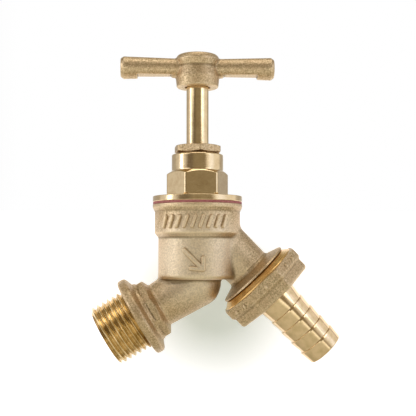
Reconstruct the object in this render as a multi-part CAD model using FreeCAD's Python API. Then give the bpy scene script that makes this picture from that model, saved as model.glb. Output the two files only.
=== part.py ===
import FreeCAD, Part
import math
import os

# Hose union bib tap in cast and turned brass, in millimetres.
# It is drawn with its spindle upright: the spindle axis is Z and the inlet and outlet lie in the XZ plane.
# Heights along Z are counted from the point where the inlet axis meets the spindle axis.
# Stations along the inlet and the outlet are counted outwards from the spindle axis.
# At the end everything is moved so that the origin is the centre of the inlet collar's wall face.

Vec = FreeCAD.Vector
ORIGIN = Vec(0, 0, 0)
UP = Vec(0, 0, 1)
ACROSS = Vec(0, 1, 0)

# Layout of the casting
inlet_tilt = 30.5  # degrees that the inlet points below level
outlet_tilt = 45.9  # degrees that the outlet points below level
inlet_reach = 34.7  # spindle axis to the free end of the inlet thread
outlet_height = 21.66  # height at which the outlet axis leaves the spindle axis

# Clearances
fixed_gap = 0.05  # between pieces that are assembled and then stay put
running_gap = 0.06  # radial, round what turns or slides
thread_gap = 0.1  # radial, between a male thread's crest and its smooth female bore
contact_gap = 0.1  # between flat faces of bodies that part when the tap moves
overrun = 1.0  # how far a cutting shape runs past a face, or a joined one into its neighbour

# Inlet thread, G 1/2
inlet_thread_radius = 10.48
inlet_thread_pitch = 1.814
inlet_thread_length = 11.75
inlet_end_chamfer = 0.7
inlet_relief_gap = 0.25  # radial, round the thread where it rises out of the collar's face
inlet_relief_depth = 0.4
thread_depth_share = 0.64  # depth of a pipe thread over its pitch
thread_flank_angle = 27.5

# Inlet collar, wrench ring and tube
collar_radius = 13.4
collar_width = 2.75
collar_back = 1.95
collar_round = 0.6
valley_radius = 9.2
wrench_sides = 8
wrench_flats = 19.0
wrench_width = 2.1
wrench_bevel = 1.6
wrench_round = 0.8
inlet_tube_radius = 7.4
elbow_radius = 8.3
elbow_station = 1.15  # centre of the elbow's round end
elbow_round = 7.8
inlet_bore_radius = 6.4
inlet_bore_depth = 18.0
waterway_radius = 5.4

# Valve chamber
neck_radius = 7.0
chamber_bottom = 1.2
lower_radius = 12.9
lower_height = 13.0
lower_round = 1.5
step_height = 2.3
band_wall = 2.2  # thickness of the casting round the headworks' bore
band_height = 7.3
rim_overhang = 0.67  # radial, beyond the band
rim_height = 2.4
rim_flare = 0.7
chamber_floor = 2.4
chamber_bore_radius = 10.4
headworks_bore_radius = 11.9
headworks_bore_depth = 11.2
seat_bore_radius = 4.9
seat_radius = 6.0
seat_height = 1.6
seat_slope = 0.6
inlet_junction_round = 2.0
outlet_junction_round = 0.9

# Outlet tube, skirt and union thread, G 5/8
outlet_tube_radius = 7.7
outlet_bore_radius = 5.6
outlet_root = 4.0
skirt_station = 24.5
skirt_length = 1.6
skirt_radius = 12.6
skirt_rim_radius = 12.85
skirt_rim_width = 0.6
skirt_round = 1.0
union_thread_radius = 11.456
union_thread_pitch = 1.814
union_thread_length = 4.8
union_end_chamfer = 0.5

# Union nut, washer and hose tail
nut_sides = 8
nut_turn = 3.0  # degrees that the nut stopped away from square to the tap
nut_skirt_gap = 0.4
nut_rear_radius = 12.2
nut_bevel_radius = 14.1
nut_bevel_length = 1.6
nut_rear_flats = 30.2
nut_rear_length = 5.3
nut_front_flats = 28.6
nut_front_length = 4.1
nut_corner = 1.6
nut_edge = 0.8
nut_lip = 1.7
nut_lip_gap = 0.25
union_washer_radius = 9.8
union_washer_thickness = 1.6
union_washer_bore = 5.6
tail_flange_radius = 9.6
tail_neck_radius = 7.2
tail_waist_radius = 6.45
tail_bore_radius = 4.9
tail_length = 27.8  # flange seat to free end
tail_first_barb = 9.15  # flange seat to the first barb
barb_radius = 6.85
barb_root_radius = 6.4
barb_pitch = 4.65
barb_count = 4
barb_land = 0.5
tail_chamfer = 0.3

# Headworks: fibre washer and bonnet
washer_thickness = 0.8
washer_inset = 0.07  # back from the chamber's rim
bonnet_stub_length = 8.7
bonnet_stub_relief = 0.7
bonnet_chamfer = 0.5
flange_overhang = 0.03  # past the chamber's rim
flange_thickness = 1.5
bonnet_flats = 18.0
bonnet_hex_height = 8.1
bonnet_hex_turn = 5.9
bonnet_corner = 1.1
bonnet_bevel = 1.2
turret_radius = 8.55
turret_height = 5.7
turret_chamfer = 0.6
bonnet_thread_length = 10.0
stuffing_radius = 6.0
stuffing_depth = 8.1

# Gland and packing
packing_rings = 3
packing_thickness = 1.35
gland_washer_thickness = 0.7
gland_reveal = 0.5
gland_flats = 14.0
gland_height = 2.5
gland_turn = 35.6
gland_corner = 0.9
gland_edge = 0.4

# Spindle
spindle_radius = 3.7
spindle_exposed = 19.4
screw_radius = 5.5
screw_pitch = 2.54
screw_length = 13.0
screw_chamfer = 0.4
screw_depth_share = 0.45
screw_flank_angle = 14.5
foot_length = 1.1
turns_to_open = 2.5
stop_gap = 0.35
square_share = 1.4  # across flats of the square over the spindle's radius
square_length = 8.2
square_start = 1.5

# Jumper valve
jumper_stem_radius = 2.5
jumper_stem_length = 7.7
jumper_bore_spare = 0.8
jumper_radius = 6.9
jumper_thickness = 2.0
jumper_edge = 0.4
jumper_stud_radius = 1.5
jumper_stud_length = 2.6
valve_washer_thickness = 3.0
jumper_nut_flats = 5.5
jumper_nut_height = 2.0

# Crutch handle
hub_base_radius = 6.9
hub_flare_radius = 7.25
hub_waist_radius = 6.95
hub_crown_radius = 7.45
hub_height = 11.4
hub_flare_height = 3.4
hub_crown_drop = 2.0
hub_crown_round = 1.9
hub_base_round = 0.5
hub_recess_radius = 4.3
arm_height = 6.55  # arm axis above the hub's base
arm_reach = 25.6
arm_root_radius = 3.0
arm_tip_radius = 3.73
arm_end_radius = 3.05  # of the flat left at the tip
arm_tip_length = 1.05
arm_flat_drop = 2.4  # of the flat under each arm, below the arm axis
arm_flat_start = 9.2
arm_flat_end = 20.0

# Grub screw at the back of the hub
grub_radius = 2.0
grub_length = 3.6
grub_drop = 1.2  # below the arm axis
grub_slot_width = 0.6
grub_slot_depth = 0.7

# Radii that follow from the headworks' bore
band_radius = headworks_bore_radius + band_wall
rim_radius = band_radius + rim_overhang
washer_radius = rim_radius - washer_inset
flange_radius = rim_radius + flange_overhang

# Heights that follow from the sizes above
chamber_top = chamber_bottom + lower_height + step_height + band_height + rim_height
floor_z = chamber_bottom + chamber_floor
seat_z = floor_z + seat_height
valve_z = seat_z + contact_gap
jumper_z = valve_z + valve_washer_thickness
jumper_top = jumper_z + jumper_thickness
spindle_foot = jumper_top + contact_gap
screw_bottom = spindle_foot + foot_length
screw_top = screw_bottom + screw_length
valve_lift = turns_to_open * screw_pitch
screw_stop = screw_top + valve_lift + stop_gap
flange_z = chamber_top + washer_thickness
stub_bottom = chamber_top - bonnet_stub_length
hex_z = flange_z + flange_thickness
turret_z = hex_z + bonnet_hex_height
turret_top = turret_z + turret_height
stuffing_z = turret_top - stuffing_depth
gland_washer_z = stuffing_z + packing_rings * packing_thickness
gland_foot = gland_washer_z + gland_washer_thickness
gland_z = turret_top + gland_reveal
gland_top = gland_z + gland_height
hub_z = gland_top + spindle_exposed
arm_z = hub_z + arm_height
square_z = hub_z + square_start
square_flats = square_share * spindle_radius

# Stations that follow from the sizes above
collar_face = inlet_reach - inlet_thread_length
relief_floor = collar_face - inlet_relief_depth
relief_radius = inlet_thread_radius + inlet_relief_gap
valley_station = collar_face - collar_width - collar_back
wrench_station = valley_station - wrench_width
tube_station = wrench_station - wrench_bevel
rim_station = skirt_station + skirt_length + skirt_rim_width
union_thread_end = rim_station + union_thread_length
washer_station = union_thread_end + contact_gap
flange_station = washer_station + union_washer_thickness
nut_rear = rim_station + nut_skirt_gap
nut_step = nut_rear + nut_rear_length
nut_front = nut_step + nut_front_length
lip_station = nut_front - nut_lip
tail_end = flange_station + tail_length


def rounded_wire(corners):
    """Closed outline through (point, radius) corners, each rounded by an arc tangent to both its lines."""
    spans = []
    for place, (point, radius) in enumerate(corners):
        back = corners[place - 1][0] - point
        ahead = corners[(place + 1) % len(corners)][0] - point
        if radius == 0:
            spans.append((point, None, point))
            continue
        back.normalize()
        ahead.normalize()
        half_angle = back.getAngle(ahead) / 2
        inward = back + ahead
        inward.normalize()
        setback = radius / math.tan(half_angle)
        middle = point + inward * (radius / math.sin(half_angle) - radius)
        spans.append((point + back * setback, middle, point + ahead * setback))
    edges = []
    for place, (start, middle, end) in enumerate(spans):
        if middle is not None:
            edges.append(Part.Arc(start, middle, end).toShape())
        following = spans[(place + 1) % len(spans)][0]
        if end.distanceToPoint(following) > 1e-6:
            edges.append(Part.LineSegment(end, following).toShape())
    return Part.Wire(edges)


def turned(outline):
    """Solid of revolution about Z from (radius, height, corner radius) points."""
    corners = [(Vec(radius, 0, height), corner) for radius, height, corner in outline]
    return Part.Face(rounded_wire(corners)).revolve(ORIGIN, UP, 360)


def ring(inner, outer, bottom, top):
    """Plain turned ring with square edges."""
    return turned([(inner, bottom, 0), (outer, bottom, 0), (outer, top, 0), (inner, top, 0)])


def cylinder(radius, bottom, top):
    return Part.makeCylinder(radius, top - bottom, Vec(0, 0, bottom))


def prism(sides, flats, corner, turn, bottom, top):
    """Upright prism whose vertical edges are rounded, with one edge turned away from X."""
    reach = flats / 2 / math.cos(math.pi / sides)
    corners = []
    for side in range(sides):
        angle = math.radians(turn) + 2 * math.pi * side / sides
        corners.append((Vec(reach * math.cos(angle), reach * math.sin(angle), bottom), corner))
    return Part.Face(rounded_wire(corners)).extrude(Vec(0, 0, top - bottom))


def helical_strip(inner, outer, pitch):
    """One turn of the ruled face between two helices of the same pitch, each given as (radius, height)."""
    helices = []
    for radius, height in (inner, outer):
        helix = Part.makeHelix(pitch, pitch, radius)
        helix.translate(Vec(0, 0, height))
        helices.append(helix.Edges[0])
    return Part.makeRuledSurface(helices[0], helices[1])


def thread_end(profile, pitch, height):
    """Faces that close a stack of thread turns: a spiral stair round the axis and its one upright step."""
    foot = Vec(0, 0, height)
    head = Vec(0, 0, height + pitch)
    helix = Part.makeHelix(pitch, pitch, profile[0][0])
    helix.translate(foot)
    stair = Part.makeRuledSurface(Part.makeLine(foot, head), helix.Edges[0])
    riser = [Vec(reach, 0, height + rise) for reach, rise in profile]
    return [stair, Part.Face(Part.makePolygon([foot, *riser, head, foot]))]


def threaded_rod(radius, pitch, depth, flank_angle, bottom, top, chamfer):
    """Right-hand male thread along Z: stacked turns of its profile, closed and trimmed to a chamfered bar."""
    flank = depth * math.tan(math.radians(flank_angle))
    crest = pitch / 2 - flank
    root = radius - depth
    profile = [
        (root, 0),
        (root, crest),
        (radius, crest + flank),
        (radius, 2 * crest + flank),
        (root, pitch),
    ]
    turns = math.ceil((top - bottom) / pitch) + 2
    first = bottom - 1.5 * pitch
    faces = thread_end(profile, pitch, first)
    faces += thread_end(profile, pitch, first + turns * pitch)
    for inner, outer in zip(profile[:-1], profile[1:]):
        strip = helical_strip(inner, outer, pitch)
        for turn in range(turns):
            placed = strip.copy()
            placed.translate(Vec(0, 0, first + turn * pitch))
            faces.append(placed)
    skin = Part.makeShell(faces)
    skin.sewShape()
    envelope = turned(
        [
            (0, bottom, 0),
            (radius + chamfer, bottom, 0),
            (radius + chamfer, top - 2 * chamfer, 0),
            (radius - chamfer, top, 0),
            (0, top, 0),
        ]
    )
    return Part.makeSolid(skin).common(envelope)


def along_inlet(shape):
    """Lay a shape that was drawn along Z onto the inlet axis."""
    placed = shape.copy()
    placed.rotate(ORIGIN, ACROSS, -90 - inlet_tilt)
    return placed


def along_outlet(shape):
    """Lay a shape that was drawn along Z onto the outlet axis."""
    placed = shape.copy()
    placed.rotate(ORIGIN, ACROSS, 90 + outlet_tilt)
    placed.translate(Vec(0, 0, outlet_height))
    return placed


def inlet_branch():
    """Elbow, tube, wrench ring and collar along the inlet, with a shallow recess round the thread's foot."""
    stock = turned(
        [
            (0, elbow_station - elbow_radius, 0),
            (elbow_radius, elbow_station - elbow_radius, elbow_round),
            (inlet_tube_radius, tube_station, 0),
            (inlet_tube_radius, wrench_station, 0),
            (valley_radius, valley_station, 0),
            (collar_radius, collar_face - collar_width, collar_round),
            (collar_radius, collar_face, collar_round),
            (relief_radius, collar_face, 0),
            (relief_radius, relief_floor, 0),
            (0, relief_floor, 0),
        ]
    )
    wrench_reach = wrench_flats / 2 / math.cos(math.pi / wrench_sides)
    bevel = turned(
        [
            (0, tube_station, 0),
            (inlet_tube_radius, tube_station, 0),
            (wrench_reach, wrench_station, 0),
            (wrench_reach, valley_station, 0),
            (0, valley_station, 0),
        ]
    )
    half_side = 180 / wrench_sides
    octagon = prism(wrench_sides, wrench_flats, wrench_round, half_side, tube_station, valley_station)
    return along_inlet(stock.fuse(octagon.common(bevel)))


def inlet_thread():
    """Male pipe thread that runs right down into the collar's recess."""
    thread = threaded_rod(
        inlet_thread_radius,
        inlet_thread_pitch,
        thread_depth_share * inlet_thread_pitch,
        thread_flank_angle,
        relief_floor,
        inlet_reach,
        inlet_end_chamfer,
    )
    return along_inlet(thread)


def chamber():
    """Round valve chamber with its lower barrel, stepped band and top rim, on a neck from the elbow."""
    band_z = chamber_bottom + lower_height + step_height
    rim_z = band_z + band_height
    barrel = turned(
        [
            (0, chamber_bottom, 0),
            (lower_radius, chamber_bottom, lower_round),
            (lower_radius, chamber_bottom + lower_height, step_height / 3),
            (band_radius, band_z, step_height / 3),
            (band_radius, rim_z, rim_flare / 2),
            (rim_radius, rim_z + rim_flare, rim_flare / 2),
            (rim_radius, chamber_top, rim_flare / 4),
            (0, chamber_top, 0),
        ]
    )
    return barrel.fuse(cylinder(neck_radius, 0, floor_z))


def outlet_branch():
    """Tube, flared skirt and male union thread along the outlet."""
    tube = turned(
        [
            (0, outlet_root, 0),
            (outlet_tube_radius, outlet_root, 0),
            (outlet_tube_radius, skirt_station, skirt_round),
            (skirt_radius, skirt_station + skirt_length, 0),
            (skirt_rim_radius, rim_station, 0),
            (0, rim_station, 0),
        ]
    )
    thread = threaded_rod(
        union_thread_radius,
        union_thread_pitch,
        thread_depth_share * union_thread_pitch,
        thread_flank_angle,
        rim_station,
        union_thread_end,
        union_end_chamfer,
    )
    return along_outlet(tube), along_outlet(thread)


def waterways():
    """Everything that is bored out of the casting, from the inlet's end to the outlet's end."""
    inlet_bore = turned(
        [
            (0, 0, 0),
            (waterway_radius, 0, 0),
            (waterway_radius, inlet_reach - inlet_bore_depth - inlet_bore_radius + waterway_radius, 0),
            (inlet_bore_radius, inlet_reach - inlet_bore_depth, 0),
            (inlet_bore_radius, inlet_reach + overrun, 0),
            (0, inlet_reach + overrun, 0),
        ]
    )
    bend = Part.makeSphere(waterway_radius, ORIGIN)
    seat_bore = cylinder(seat_bore_radius, 0, seat_z + overrun)
    cavity = turned(
        [
            (0, seat_z, 0),
            (seat_radius, seat_z, 0),
            (seat_radius + seat_slope, floor_z, 0),
            (chamber_bore_radius, floor_z, 0),
            (chamber_bore_radius, chamber_top - headworks_bore_depth, 0),
            (headworks_bore_radius, chamber_top - headworks_bore_depth, 0),
            (headworks_bore_radius, chamber_top + overrun, 0),
            (0, chamber_top + overrun, 0),
        ]
    )
    outlet_bore = along_outlet(cylinder(outlet_bore_radius, 0, union_thread_end + overrun))
    return [along_inlet(inlet_bore), bend, seat_bore, cavity, outlet_bore]


def crease(first, second, joined):
    """Edges of the joined shape where the surfaces of its two parts meet."""
    meeting = [edge.CenterOfMass for edge in first.section(second).Edges]
    return [
        edge
        for edge in joined.Edges
        if any(edge.CenterOfMass.distanceToPoint(point) < 0.01 for point in meeting)
    ]


def softly_joined(first, second, radius):
    """Two cast shapes fused into one, with a fillet along the crease between them."""
    joined = first.fuse(second)
    return joined.makeFillet(radius, crease(first, second, joined))


def tap_body():
    """The whole casting: chamber, inlet and outlet with soft roots, and waterways bored through them."""
    tube, union_thread = outlet_branch()
    shape = softly_joined(chamber(), inlet_branch(), inlet_junction_round)
    shape = softly_joined(shape, tube, outlet_junction_round)
    shape = shape.fuse(union_thread).fuse(inlet_thread())
    for waterway in waterways():
        shape = shape.cut(waterway)
    return shape


def headworks_washer():
    """Red fibre washer between the chamber's rim and the bonnet's flange."""
    return ring(headworks_bore_radius + fixed_gap, washer_radius, chamber_top, flange_z)


def bonnet():
    """Turned bonnet: threaded stub, flange, hexagon and turret, bored for screw, spindle and packing."""
    stub_radius = headworks_bore_radius - fixed_gap
    relief_radius = stub_radius - bonnet_stub_relief
    body = turned(
        [
            (0, stub_bottom, 0),
            (stub_radius - bonnet_chamfer, stub_bottom, 0),
            (stub_radius, stub_bottom + bonnet_chamfer, 0),
            (stub_radius, chamber_top - bonnet_stub_relief, 0),
            (relief_radius, chamber_top, 0),
            (relief_radius, flange_z, 0),
            (flange_radius, flange_z, 0),
            (flange_radius, hex_z, 0),
            (turret_radius, hex_z, 0),
            (turret_radius, turret_top - turret_chamfer, 0),
            (turret_radius - turret_chamfer, turret_top, 0),
            (0, turret_top, 0),
        ]
    )
    hexagon = prism(6, bonnet_flats, bonnet_corner, bonnet_hex_turn, hex_z, turret_z)
    corner_reach = bonnet_flats / 2 / math.cos(math.pi / 6)
    bevel = turned(
        [
            (0, hex_z, 0),
            (corner_reach, hex_z, 0),
            (corner_reach, turret_z - bonnet_bevel, 0),
            (bonnet_flats / 2 - fixed_gap, turret_z, 0),
            (0, turret_z, 0),
        ]
    )
    screw_bore = screw_radius + thread_gap
    spindle_bore = spindle_radius + running_gap
    relief_bore = screw_bore + bonnet_stub_relief
    bore = turned(
        [
            (0, stub_bottom - overrun, 0),
            (screw_bore, stub_bottom - overrun, 0),
            (screw_bore, stub_bottom + bonnet_thread_length, 0),
            (relief_bore, stub_bottom + bonnet_thread_length + bonnet_stub_relief, 0),
            (relief_bore, screw_stop, 0),
            (spindle_bore, screw_stop, 0),
            (spindle_bore, stuffing_z, 0),
            (stuffing_radius, stuffing_z, 0),
            (stuffing_radius, turret_top + overrun, 0),
            (0, turret_top + overrun, 0),
        ]
    )
    return body.fuse(hexagon.common(bevel)).cut(bore)


def packing_ring(place):
    """One ring of packing in the stuffing box, counted from the bottom."""
    bottom = stuffing_z + place * packing_thickness
    inner = spindle_radius + running_gap
    return ring(inner, stuffing_radius - fixed_gap, bottom, bottom + packing_thickness)


def gland_washer():
    """Brass washer that spreads the gland nut's push over the packing."""
    inner = spindle_radius + running_gap
    return ring(inner, stuffing_radius - fixed_gap, gland_washer_z, gland_foot)


def gland_nut():
    """Hollow nut that screws into the turret and squeezes the packing."""
    head = prism(6, gland_flats, gland_corner, gland_turn, gland_z, gland_top)
    rim = [edge for edge in head.Edges if edge.BoundBox.ZMin > gland_top - 1e-6]
    head = head.makeFillet(gland_edge, rim)
    shank = cylinder(stuffing_radius - fixed_gap, gland_foot, gland_z + gland_edge)
    bore = cylinder(spindle_radius + running_gap, gland_foot - overrun, gland_top + overrun)
    return head.fuse(shank).cut(bore)


def spindle():
    """Rising spindle: foot, coarse screw, polished shaft and the square that the handle sits on."""
    screw_depth = screw_depth_share * screw_pitch
    foot = cylinder(screw_radius - screw_depth - fixed_gap, spindle_foot, screw_bottom + overrun)
    screw = threaded_rod(
        screw_radius,
        screw_pitch,
        screw_depth,
        screw_flank_angle,
        screw_bottom,
        screw_top,
        screw_chamfer,
    )
    shaft = cylinder(spindle_radius, screw_top - overrun, square_z)
    square = prism(4, square_flats, 0, 45, square_z - overrun, square_z + square_length)
    square = square.common(cylinder(spindle_radius, square_z - overrun, square_z + square_length))
    stem_bore = cylinder(
        jumper_stem_radius + running_gap,
        spindle_foot - overrun,
        jumper_top + jumper_stem_length + jumper_bore_spare,
    )
    return screw.fuse([foot, shaft, square]).cut(stem_bore)


def jumper_valve():
    """Disc that closes the seat, with a stem up into the spindle and a stud for its washer."""
    disc = turned(
        [
            (0, jumper_z, 0),
            (jumper_radius, jumper_z, 0),
            (jumper_radius, jumper_top, jumper_edge),
            (0, jumper_top, 0),
        ]
    )
    stem = cylinder(jumper_stem_radius, jumper_top - overrun, jumper_top + jumper_stem_length)
    stud_bottom = valve_z - jumper_stud_length
    stud = cylinder(jumper_stud_radius, stud_bottom, jumper_z + jumper_edge)
    return disc.fuse([stem, stud])


def valve_washer():
    """Rubber washer that the jumper presses on the seat."""
    return ring(jumper_stud_radius + fixed_gap, jumper_radius, valve_z, jumper_z)


def jumper_nut():
    """Small nut that holds the rubber washer on the jumper's stud."""
    bottom = valve_z - jumper_nut_height
    nut = prism(6, jumper_nut_flats, 0, 0, bottom, valve_z)
    bore = cylinder(jumper_stud_radius + fixed_gap, bottom - overrun, valve_z + overrun)
    return nut.cut(bore)


def handle_hub():
    """Round boss of the handle, flared near its base and domed on top."""
    hub_top = hub_z + hub_height
    return turned(
        [
            (0, hub_z, 0),
            (hub_base_radius, hub_z, hub_base_round),
            (hub_flare_radius, hub_z + hub_flare_height, hub_flare_height / 3),
            (hub_waist_radius, arm_z, 0),
            (hub_crown_radius, hub_top - hub_crown_drop, hub_crown_round / 3),
            (hub_crown_radius - hub_crown_round, hub_top - hub_crown_drop / 4, hub_crown_round),
            (0, hub_top, 0),
        ]
    )


def handle_arm(side):
    """One arm of the crutch, a round taper, thickest near its bevelled tip, with a flat across it underneath."""
    shoulder = arm_reach - arm_tip_length
    arm = turned(
        [
            (0, 0, 0),
            (arm_root_radius, 0, 0),
            (arm_tip_radius, shoulder, arm_tip_length / 2),
            (arm_end_radius, arm_reach, arm_tip_length / 2),
            (0, arm_reach, 0),
        ]
    )
    arm.rotate(ORIGIN, ACROSS, 90 * side)
    arm.translate(Vec(0, 0, arm_z))
    low_side = min(side * arm_flat_start, side * arm_flat_end)
    underside = Part.makeBox(
        arm_flat_end - arm_flat_start,
        2 * arm_tip_radius,
        arm_tip_radius,
        Vec(low_side, -arm_tip_radius, arm_z - arm_flat_drop - arm_tip_radius),
    )
    return arm.cut(underside)


def crutch_handle():
    """The whole handle, with a square socket for the spindle and a tapped hole for the grub screw."""
    hub = handle_hub().fuse([handle_arm(1), handle_arm(-1)])
    socket_half = square_flats / 2 + fixed_gap
    socket = Part.makeBox(
        2 * socket_half,
        2 * socket_half,
        square_length + fixed_gap + square_start + overrun,
        Vec(-socket_half, -socket_half, hub_z - overrun),
    )
    recess = cylinder(hub_recess_radius, hub_z - overrun, square_z)
    centre = Vec(0, 0, arm_z - grub_drop)
    tapping = Part.makeCylinder(grub_radius + fixed_gap, hub_crown_radius + overrun, centre, ACROSS)
    return hub.cut([socket, recess, tapping])


def handle_grub_screw():
    """Slotted screw that bears on the spindle's square from behind."""
    start = square_flats / 2 + fixed_gap
    centre = Vec(0, start, arm_z - grub_drop)
    screw = Part.makeCylinder(grub_radius, grub_length, centre, ACROSS)
    slot = Part.makeBox(
        4 * grub_radius,
        grub_slot_depth,
        grub_slot_width,
        Vec(-2 * grub_radius, start + grub_length - grub_slot_depth, centre.z - grub_slot_width / 2),
    )
    return screw.cut(slot)


def hose_tail():
    """Turned tail: a flange inside the nut, a tapered neck and barbs whose steps face the tap."""
    first_barb = flange_station + tail_first_barb
    flange_top = lip_station - contact_gap
    outline = [
        (tail_bore_radius, flange_station, 0),
        (tail_flange_radius, flange_station, 0),
        (tail_flange_radius, flange_top, 0),
        (tail_neck_radius, flange_top, 0),
        (tail_neck_radius, nut_front, 0),
        (tail_waist_radius, first_barb, 0),
    ]
    for barb in range(barb_count):
        step = first_barb + barb * barb_pitch
        outline.append((barb_radius, step, 0))
        outline.append((barb_radius, step + barb_land, 0))
        if barb < barb_count - 1:
            outline.append((barb_root_radius, step + barb_pitch, 0))
    outline += [
        (barb_root_radius, tail_end - tail_chamfer, 0),
        (barb_root_radius - tail_chamfer, tail_end, 0),
        (tail_bore_radius, tail_end, 0),
    ]
    return along_outlet(turned(outline))


def union_washer():
    """Rubber washer between the body's threaded end and the tail's flange."""
    return along_outlet(ring(union_washer_bore, union_washer_radius, washer_station, flange_station))


def union_nut():
    """Cast octagonal nut in two tiers, with a turned bevel at the rear and a lip that holds the tail."""
    turn = 90 + 180 / nut_sides + nut_turn
    rear = prism(nut_sides, nut_rear_flats, nut_corner, turn, nut_rear, nut_step)
    front = prism(nut_sides, nut_front_flats, nut_corner, turn, nut_step - overrun, nut_front)
    tiers = []
    for tier, top in ((rear, nut_step), (front, nut_front)):
        rim = [edge for edge in tier.Edges if edge.BoundBox.ZMin > top - 1e-6]
        tiers.append(tier.makeFillet(nut_edge, rim))
    reach = nut_rear_flats / 2 / math.cos(math.pi / nut_sides)
    bevel = turned(
        [
            (0, nut_rear, 0),
            (nut_rear_radius, nut_rear, 0),
            (nut_bevel_radius, nut_rear + nut_bevel_length, 0),
            (reach, nut_rear + nut_bevel_length + (reach - nut_bevel_radius) / 3, 0),
            (reach, nut_front, 0),
            (0, nut_front, 0),
        ]
    )
    bore = turned(
        [
            (0, nut_rear - overrun, 0),
            (union_thread_radius + thread_gap, nut_rear - overrun, 0),
            (union_thread_radius + thread_gap, lip_station, 0),
            (tail_neck_radius + nut_lip_gap, lip_station, 0),
            (tail_neck_radius + nut_lip_gap, nut_front + overrun, 0),
            (0, nut_front + overrun, 0),
        ]
    )
    return along_outlet(tiers[0].fuse(tiers[1]).common(bevel).cut(bore))


pieces = {
    "tap_body": tap_body(),
    "headworks_washer": headworks_washer(),
    "bonnet": bonnet(),
    "gland_washer": gland_washer(),
    "gland_nut": gland_nut(),
    "spindle": spindle(),
    "jumper_valve": jumper_valve(),
    "valve_washer": valve_washer(),
    "jumper_nut": jumper_nut(),
    "crutch_handle": crutch_handle(),
    "handle_grub_screw": handle_grub_screw(),
    "hose_tail": hose_tail(),
    "union_washer": union_washer(),
    "union_nut": union_nut(),
}
for place in range(packing_rings):
    pieces[f"packing_ring_{place + 1}"] = packing_ring(place)

collar_centre = along_inlet(Part.Vertex(0, 0, collar_face)).Point
os.makedirs("parts", exist_ok=True)
for name, shape in pieces.items():
    shape.translate(-collar_centre)
    shape.exportStep(f"parts/{name}.step")
    state = "valid" if shape.isValid() else "INVALID"
    print(name, state, len(shape.Solids), "solids", round(shape.Volume, 2), "mm3")
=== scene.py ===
import math

import bmesh
import bpy
import numpy as np
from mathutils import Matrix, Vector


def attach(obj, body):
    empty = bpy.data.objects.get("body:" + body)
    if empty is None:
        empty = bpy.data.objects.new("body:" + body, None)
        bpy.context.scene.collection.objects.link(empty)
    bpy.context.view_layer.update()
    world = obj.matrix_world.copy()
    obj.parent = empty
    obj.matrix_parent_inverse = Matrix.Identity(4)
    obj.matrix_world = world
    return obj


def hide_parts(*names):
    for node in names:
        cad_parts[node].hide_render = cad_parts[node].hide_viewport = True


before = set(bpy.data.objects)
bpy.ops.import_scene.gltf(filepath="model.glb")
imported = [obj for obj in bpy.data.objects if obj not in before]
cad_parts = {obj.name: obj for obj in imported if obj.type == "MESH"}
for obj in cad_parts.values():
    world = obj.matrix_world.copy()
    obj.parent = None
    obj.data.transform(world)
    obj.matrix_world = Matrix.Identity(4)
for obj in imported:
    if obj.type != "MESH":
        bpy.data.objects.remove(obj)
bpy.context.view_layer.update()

# Body casting
# The body is one brass casting: a round valve chamber, an inlet tube that bends out of its foot and an
# outlet tube on its side. The sand mould leaves soft roots between them, and the skin is bead blasted.

CROSSING = np.array([19.774, 0.0, 11.648])  # where the inlet's axis meets the spindle's, in mm
UPRIGHT = (0.0, 0.0)  # an axis is its lean from upright in radians and its height over the crossing in mm
INLET = (math.radians(-120.5), 0.0)
OUTLET = (math.radians(135.9), 21.66)
INLET_CUT = 14.2  # stations where the casting's tubes end and pieces of their own carry on
OUTLET_CUT = 23.9
TUBE_FAR = 40.0  # a station past both tubes' ends
BARREL_RADIUS = 12.9
BAND_RADIUS = 14.1
RIM_RADIUS = 14.77
RIM_TOP = 25.75


def placed(points, axis):
    """Points in mm about an upright axis, leaned over about Y, raised, and counted from the part's
    origin in metres instead of from the crossing."""
    lean, height = axis
    x, y, z = np.moveaxis(np.asarray(points, float), -1, 0)
    leaned = [x * math.cos(lean) + z * math.sin(lean), y, z * math.cos(lean) - x * math.sin(lean) + height]
    return (np.stack(leaned, -1) + CROSSING) / 1000


def measured(points, axis):
    """Distance from an axis and station along it of points in mm that are counted from the crossing."""
    lean, height = axis
    direction = np.array([math.sin(lean), 0, math.cos(lean)])
    offset = points - [0, 0, height]
    station = offset @ direction
    return np.linalg.norm(offset - station[:, None] * direction, axis=1), station


def rounded(corners, steps=6):
    """Outline through (radius, station, rounding) corners. Each is a circle's arc tangent to both its
    sides, as a rational curve weighted by the sine of half the angle, with a holding point outside
    either end."""
    hold = 0.04
    spots = np.array([corner[:2] for corner in corners], float)
    share = np.linspace(0, 1, steps + 1)[:, None]
    outline = [spots[0]]
    for back, spot, ahead, corner in zip(spots[:-2], spots[1:-1], spots[2:], corners[1:-1]):
        if corner[2] == 0:
            outline.append(spot)
            continue
        to_back = (back - spot) / np.linalg.norm(back - spot)
        to_ahead = (ahead - spot) / np.linalg.norm(ahead - spot)
        half = math.acos(np.clip(to_back @ to_ahead, -1, 1)) / 2
        reach = corner[2] / math.tan(half)
        start, end = spot + reach * to_back, spot + reach * to_ahead
        weights = (1 - share) ** 2, 2 * share * (1 - share) * math.sin(half), share**2
        arc = (weights[0] * start + weights[1] * spot + weights[2] * end) / sum(weights)
        outline += [start + hold * to_back, *arc, end + hold * to_ahead]
    return np.array([*outline, spots[-1]])


def side_distance(across, along, start, end):
    """Distance to the line between two points: to the spot on it, as a share of its run, that is
    nearest."""
    run, rise = end[0] - start[0], end[1] - start[1]
    along_side = (across - start[0]) * run + (along - start[1]) * rise
    share = np.clip(along_side / max(run * run + rise * rise, 1e-12), 0, 1)
    return np.hypot(across - start[0] - share * run, along - start[1] - share * rise)


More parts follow.
